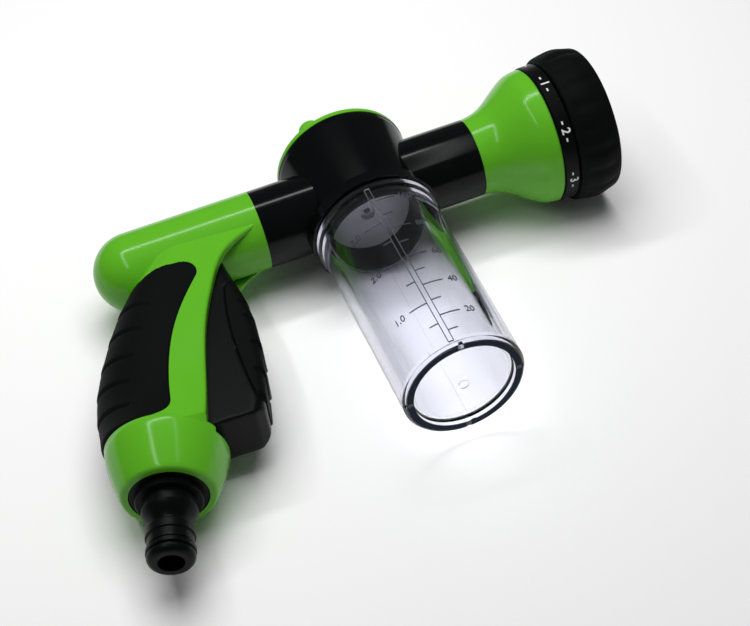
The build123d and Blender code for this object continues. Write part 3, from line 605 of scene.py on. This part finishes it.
def cup_scale():
    """The raised volume scales on both sides of the cup's front rib, and a painted shade line down each edge of
    the rib.
    """
    builder = bmesh.new()
    # Painted shade: a dark line down each edge of the rib.
    for side in (-1, 1):
        add_rib_edge_shade_line(builder, rib_azimuth + side * rib_half_width)
    for height, _ in right_scale:
        add_mark(builder, rib_azimuth + rib_half_width, right_line_end, height)
    for height in right_halves:
        add_mark(builder, rib_azimuth + rib_half_width, right_half_end, height)
    for height, _ in left_scale:
        add_mark(builder, left_line_end, rib_azimuth - rib_half_width, height)
    for height in left_halves:
        add_mark(builder, left_half_end, rib_azimuth - rib_half_width, height)
    for centre, figures in ((right_figures, right_scale), (left_figures, left_scale)):
        for height, text in figures:

            def wrap(across, rise, out):
                azimuth = centre + math.degrees(across / cup_radius_top)
                return cup_surface(azimuth, height + rise, out - mark_sunk)

            figure = glyphs(text, scale_figure_height, scale_figure_thickness)
            add_wrapped(builder, figure, wrap)
    mesh = closed_mesh("cup_scale", builder)
    piece("cup_scale", mesh, "cup", "clear_plastic", SCALE_INK_AND_RIB_SHADE)


# The painted shade ring on the cup's foot: its notches, radii, heights and steps.
foot_notches = 4
notch_half_width = 1.1
foot_inner, foot_outer = 19.95, 22.4
foot_low, foot_high = cup_wall_foot - 0.08, cup_wall_foot - 0.01
foot_steps = 24


def painted_foot_shade_ring():
    """A painted dark shade ring on the face of the cup's foot, broken by its four notches."""
    builder = bmesh.new()
    gap = notch_half_width / foot_outer
    quarter = 2 * math.pi / foot_notches
    corners = [
        (foot_inner, foot_low), (foot_outer, foot_low), (foot_outer, foot_high), (foot_inner, foot_high),
    ]
    for count in range(foot_notches):
        start, span = quarter * count + gap, quarter - 2 * gap
        angles = [start + span * step / foot_steps for step in range(foot_steps + 1)]
        add_bar(builder, [
            [
                GUN @ Vector((radius * math.cos(angle), radius * math.sin(angle), height))
                for radius, height in corners
            ]
            for angle in angles
        ])
    mesh = closed_mesh("painted_foot_shade_ring", builder)
    piece("painted_foot_shade_ring", mesh, "cup", "clear_plastic", PAINTED_FOOT_SHADE)


# ---------------------------------------------------------------- stage

def point_at(made, place, target, roll=0.0):
    """Stands a camera or lamp at a place, facing a target, rolled clockwise in degrees."""
    facing = (target - place).to_track_quat("-Z", "Y").to_matrix().to_4x4()
    made.matrix_world = Matrix.Translation(place) @ facing @ Matrix.Rotation(math.radians(roll), 4, "Z")


camera_place = Vector((-0.1356, -0.4482, 0.5082))
camera_target = Vector((0.0032, 0.0147, 0.0018))
camera_roll = -5.52
focal_length = 84.58


def camera():
    """The camera over the handle's side of the table."""
    lens = bpy.data.cameras.new("camera")
    lens.lens = focal_length
    lens.sensor_width = 36.0
    lens.clip_start = 0.01
    made = bpy.data.objects.new("camera", lens)
    bpy.context.scene.collection.objects.link(made)
    point_at(made, camera_place, camera_target, camera_roll)
    bpy.context.scene.camera = made


table_reach = 6.0
table_gap = 0.0001
table_shade, table_white = (0.90, 0.90, 0.90), (0.985, 0.985, 0.985)


def floor():
    """A wide matt white table top under the gun, paler to the camera than to the lamps."""
    builder = bmesh.new()
    bmesh.ops.create_grid(builder, x_segments=4, y_segments=4, size=table_reach)
    mesh = closed_mesh("table_top", builder)
    made = bpy.data.objects.new("table_top", mesh)
    made.location = (0, 0, cad_box[0].z - table_gap)
    bpy.context.scene.collection.objects.link(made)
    finish = Finish("table_paper", Roughness=0.9, Specular_IOR_Level=0.1)
    seen = Value(finish, finish.add("ShaderNodeLightPath").outputs["Is Camera Ray"])
    tint = finish.noise(60.0, 2.0)
    finish.colour(tint * 0.1 + seen * 0.9, table_shade, table_white)
    mesh.materials.append(finish.material)


def strip(name, start, end, width, power):
    """A long soft strip lamp between two places, facing down at the gun."""
    data = bpy.data.lights.new(name, "AREA")
    data.shape = "RECTANGLE"
    length = (end - start).length
    data.size = length
    data.size_y = width
    data.energy = power
    made = bpy.data.objects.new(name, data)
    bpy.context.scene.collection.objects.link(made)
    along_strip = (end - start).normalized()
    down = Vector((0, 0, -1))
    turn = Matrix((along_strip, (-down).cross(along_strip), -down)).transposed()
    made.matrix_world = Matrix.Translation((start + end) / 2) @ turn.to_4x4()
    made.visible_transmission = False
    return made


lamp_height, ceiling_height = 0.60, 0.80
near, far = -0.26, 0.28
west, east = -0.28, 0.16
ceiling_start, ceiling_end = (-0.22, 0.12), (0.38, 0.12)


def lamps():
    """Three strip lamps round the table and a wide soft ceiling over it."""
    for name, start, end, width, power in (
        ("west_lamp", (west, near), (west, far), 0.035, 0.7),
        ("east_lamp", (east, near), (east, far), 0.028, 0.2),
        ("far_lamp", (west, far), (east, far), 0.06, 1.1),
    ):
        strip(name, Vector((*start, lamp_height)), Vector((*end, lamp_height)), width, power)
    start, end = (Vector((*place, ceiling_height)) for place in (ceiling_start, ceiling_end))
    ceiling = strip("soft_ceiling", start, end, 0.6, 4.25)
    ceiling.visible_glossy = False


room_light, room_seen = 0.08, 1.0


def room():
    """A dim even room, which the camera itself sees as white."""
    world = bpy.data.worlds.new("room")
    bpy.context.scene.world = world
    world.use_nodes = True
    tree = world.node_tree
    background = tree.nodes["Background"]
    background.inputs["Color"].default_value = (1, 1, 1, 1)
    path = tree.nodes.new("ShaderNodeLightPath")
    strength = tree.nodes.new("ShaderNodeMix")
    strength.data_type = "FLOAT"
    strength.inputs["A"].default_value = room_light
    strength.inputs["B"].default_value = room_seen
    tree.links.new(path.outputs["Is Camera Ray"], strength.inputs["Factor"])
    tree.links.new(strength.outputs["Result"], background.inputs["Strength"])


camera()
floor()
lamps()
room()
finish_nodes()
# The clear cup lets all the light through to the table.
NODES["soap_cup"].visible_shadow = False
soft_grip()
trigger_skin()
trigger_lever()
return_spring()
head_skin()
ring_numbers()
cup_scale()
painted_foot_shade_ring()

bpy.context.scene.view_settings.view_transform = "Standard"
